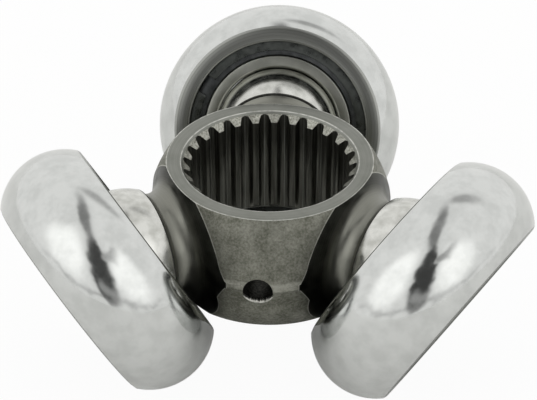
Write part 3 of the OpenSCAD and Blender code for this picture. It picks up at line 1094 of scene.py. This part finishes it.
# %% Set up the camera
CAMERA_DISTANCE = 276.1
CAMERA_HEIGHT = 36.12
CAMERA_TURN = 3.3
PICTURE_WIDTH = 537
FOCAL = 1740
ORIGIN_RIGHT = 1.34
ORIGIN_DOWN = 12.63
up = math.radians(CAMERA_HEIGHT)
turn = math.radians(CAMERA_TURN)
reach = math.cos(up) * CAMERA_DISTANCE
place = Vector((math.sin(turn) * reach, -math.cos(turn) * reach, math.sin(up) * CAMERA_DISTANCE)) * MM
deselect()
bpy.ops.object.camera_add(location=place)
camera = bpy.context.object
look = (-place).to_track_quat("-Z", "Y")
tip_down = Quaternion((1, 0, 0), math.atan(ORIGIN_DOWN / FOCAL))
tip = tip_down @ Quaternion((0, 1, 0), math.atan(ORIGIN_RIGHT / FOCAL))
camera.rotation_euler = (look @ tip).to_euler()
camera.data.sensor_width = 36
camera.data.lens = 36 * FOCAL / PICTURE_WIDTH
camera.data.clip_start = 0.01
bpy.context.scene.camera = camera
print("camera at", [round(c / MM, 1) for c in place], "mm, lens", round(camera.data.lens, 1), "mm")

# %% [markdown]
# ## The surroundings
# Polished steel shows little of its own. It shows the room, so the room has to be right before the
# rollers can be. The part stands in a white tent. Two soft lamps shine from either side of the camera,
# and between them lies a dark, uneven gap. The world's colour is worked out from direction, so it lies
# beyond everything. The camera itself sees plain white there.

# %% Light the scene
OPEN_LIGHT = 0.98
LAMP_LIGHT = 0.45
LINE_SHADE = 0.35
GAP_SHADE = 0.93
scene = bpy.context.scene
scene.view_settings.view_transform = "Standard"
scene.world = bpy.data.worlds.new("studio")
scene.world.use_nodes = True
tree = scene.world.node_tree
tree.nodes.clear()
direction = tree.nodes.new("ShaderNodeTexCoord").outputs["Generated"]
across, along, upward = split(tree, direction)
DEGREES = 180 / math.pi
ahead = compute(tree, "MULTIPLY", along, -1)
side_angle = compute(tree, "MULTIPLY", compute(tree, "ARCTAN2", across, ahead), DEGREES)
rise_angle = compute(tree, "MULTIPLY", compute(tree, "ARCSINE", upward), DEGREES)


def wavering(tree, angle, size, reach, shift):
    """An angle that wavers by a few degrees from place to place."""
    moved = tree.nodes.new("ShaderNodeMapping")
    moved.inputs["Location"].default_value = (shift, shift, 0)
    tree.links.new(direction, moved.inputs["Vector"])
    return compute(tree, "ADD", angle, compute(tree, "MULTIPLY", compute(
        tree, "SUBTRACT", grain(tree, moved.outputs["Vector"], size, 3.0), 0.5), reach))


def zone(tree, side, rise, middle, half, soft):
    """1 inside an oval of directions and 0 outside it."""
    a = compute(tree, "DIVIDE", compute(tree, "SUBTRACT", side, middle[0]), half[0])
    b = compute(tree, "DIVIDE", compute(tree, "SUBTRACT", rise, middle[1]), half[1])
    return between(tree, hypotenuse(tree, a, b), 1 - soft, 1 + soft, 1.0, 0.0)


side = wavering(tree, side_angle, 0.28, 34, 3.1)
rise = wavering(tree, rise_angle, 0.3, 26, 7.7)
gap = zone(tree, side, rise, (0, 40), (18, 34), 0.2)
light_spot = zone(tree, side, rise, (3, 19), (9, 6), 0.5)
gap = compute(tree, "SUBTRACT", gap, compute(tree, "MULTIPLY", light_spot, 0.35))
gap_spur = compute(tree, "MULTIPLY", zone(tree, side, rise, (33, 54), (22, 6), 0.5), 0.6)
dark = compute(tree, "MAXIMUM", gap, gap_spur)
# Overhead the gap narrows to a streak, measured from front to back over the zenith, and then bends aside
off_plane = wavering(tree, compute(tree, "MULTIPLY", compute(tree, "ARCSINE", across), DEGREES), 0.3, 12, 5.3)
over_arc = compute(tree, "MULTIPLY", compute(tree, "ARCTAN2", upward, ahead), DEGREES)
streak = compute(tree, "MULTIPLY", zone(tree, off_plane, over_arc, (-3, 90), (6, 28), 0.4), 0.75)
bend = compute(tree, "MULTIPLY", zone(tree, off_plane, over_arc, (16, 126), (17, 6), 0.5), 0.5)
dark = compute(tree, "MAXIMUM", dark, compute(tree, "MAXIMUM", streak, bend))
lamps = compute(tree, "MAXIMUM", zone(tree, side_angle, rise_angle, (-50, 37), (27, 27), 0.35),
                zone(tree, side_angle, rise_angle, (46, 34), (25, 25), 0.35))
edge_line = zone(tree, side_angle, rise, (0, 7), (75, 3), 0.6)
level = compute(tree, "ADD", OPEN_LIGHT, compute(tree, "MULTIPLY", lamps, LAMP_LIGHT))
level = compute(tree, "SUBTRACT", level, compute(tree, "MULTIPLY", edge_line, LINE_SHADE))
let_through = compute(tree, "SUBTRACT", 1, compute(tree, "MULTIPLY", dark, GAP_SHADE))
level = compute(tree, "MULTIPLY", level, let_through)
studio = tree.nodes.new("ShaderNodeBackground")
studio.inputs["Color"].default_value = (1.0, 1.0, 0.985, 1)
tree.links.new(level, studio.inputs["Strength"])
white = tree.nodes.new("ShaderNodeBackground")
white.inputs["Color"].default_value = (1, 1, 1, 1)
choice = tree.nodes.new("ShaderNodeMixShader")
tree.links.new(tree.nodes.new("ShaderNodeLightPath").outputs["Is Camera Ray"], choice.inputs["Fac"])
tree.links.new(studio.outputs["Background"], choice.inputs[1])
tree.links.new(white.outputs["Background"], choice.inputs[2])
tree.links.new(choice.outputs["Shader"], tree.nodes.new("ShaderNodeOutputWorld").inputs["Surface"])
print("surroundings:", len(tree.nodes), "nodes")

# %% [markdown]
# ## The floor
# The part stands on its three rollers on white paper. To the camera the paper is nearly its own light, so
# it runs into the white behind, and a small share of real paper is mixed in, which keeps the soft shadow
# under the part.

# %% Lay the floor
FLOOR_Z = cad_box[0][2]
PAPER_GLOW = 0.95
deselect()
bpy.ops.mesh.primitive_plane_add(size=3, location=(0, 0, FLOOR_Z))
floor = bpy.context.object
floor.name = "floor"
tree, shader = new_finish("white_paper", (0.88, 0.88, 0.87), 0.0, 0.7)
glow = tree.nodes.new("ShaderNodeEmission")
glow.inputs["Color"].default_value = (1, 1, 1, 1)
glow.inputs["Strength"].default_value = 1
blend_in = tree.nodes.new("ShaderNodeMixShader")
seen = compute(tree, "MULTIPLY", tree.nodes.new("ShaderNodeLightPath").outputs["Is Camera Ray"], PAPER_GLOW)
tree.links.new(seen, blend_in.inputs["Fac"])
tree.links.new(shader.outputs["BSDF"], blend_in.inputs[1])
tree.links.new(glow.outputs["Emission"], blend_in.inputs[2])
tree.links.new(blend_in.outputs["Shader"], tree.nodes["Material Output"].inputs["Surface"])
floor.data.materials.append(bpy.data.materials["white_paper"])
print("floor at", round(FLOOR_Z / MM, 2), "mm")
